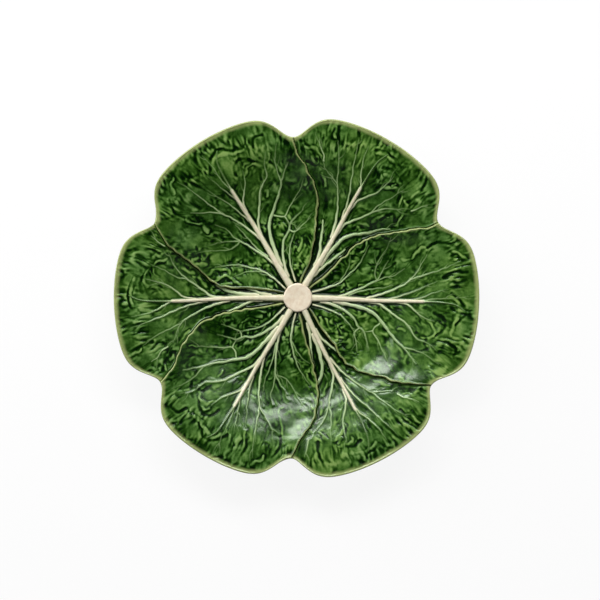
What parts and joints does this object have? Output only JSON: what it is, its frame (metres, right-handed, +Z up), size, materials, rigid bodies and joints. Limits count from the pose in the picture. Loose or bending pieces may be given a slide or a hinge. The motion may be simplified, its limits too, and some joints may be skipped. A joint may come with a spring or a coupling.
{
  "type": "cabbage plate",
  "caption": "Round dinner plate moulded as overlapping cabbage leaves with raised beige midribs and pale veins, a shallow well and a foot ring, in green glaze.",
  "frame": {"origin": "on the table under the middle of the plate, in the foot ring's plane", "axes": "+Z up out of the well, +X towards the right leaf, along the plate's widest line"},
  "size_m": [0.2649, 0.2592, 0.0301],
  "materials": {
    "leaf_glaze": "gloss",
    "underside_glaze": "gloss",
    "rib_glaze": "gloss",
    "vein_glaze": "gloss"
  },
  "bodies": {
    "root": {"dish_body": "underside_glaze", "foot_ring": "underside_glaze", "cut_stem": "rib_glaze", "leaf_right": "leaf_glaze", "leaf_upper_right": "leaf_glaze", "leaf_upper_left": "leaf_glaze", "leaf_left": "leaf_glaze", "leaf_lower_left": "leaf_glaze", "leaf_lower_right": "leaf_glaze", "midrib_right": "rib_glaze", "midrib_upper_right": "rib_glaze", "midrib_upper_left": "rib_glaze", "midrib_left": "rib_glaze", "midrib_lower_left": "rib_glaze", "midrib_lower_right": "rib_glaze", "side_veins_right": "vein_glaze", "side_veins_upper_right": "vein_glaze", "side_veins_upper_left": "vein_glaze", "side_veins_left": "vein_glaze", "side_veins_lower_left": "vein_glaze", "side_veins_lower_right": "vein_glaze"}
  },
  "joints": []
}
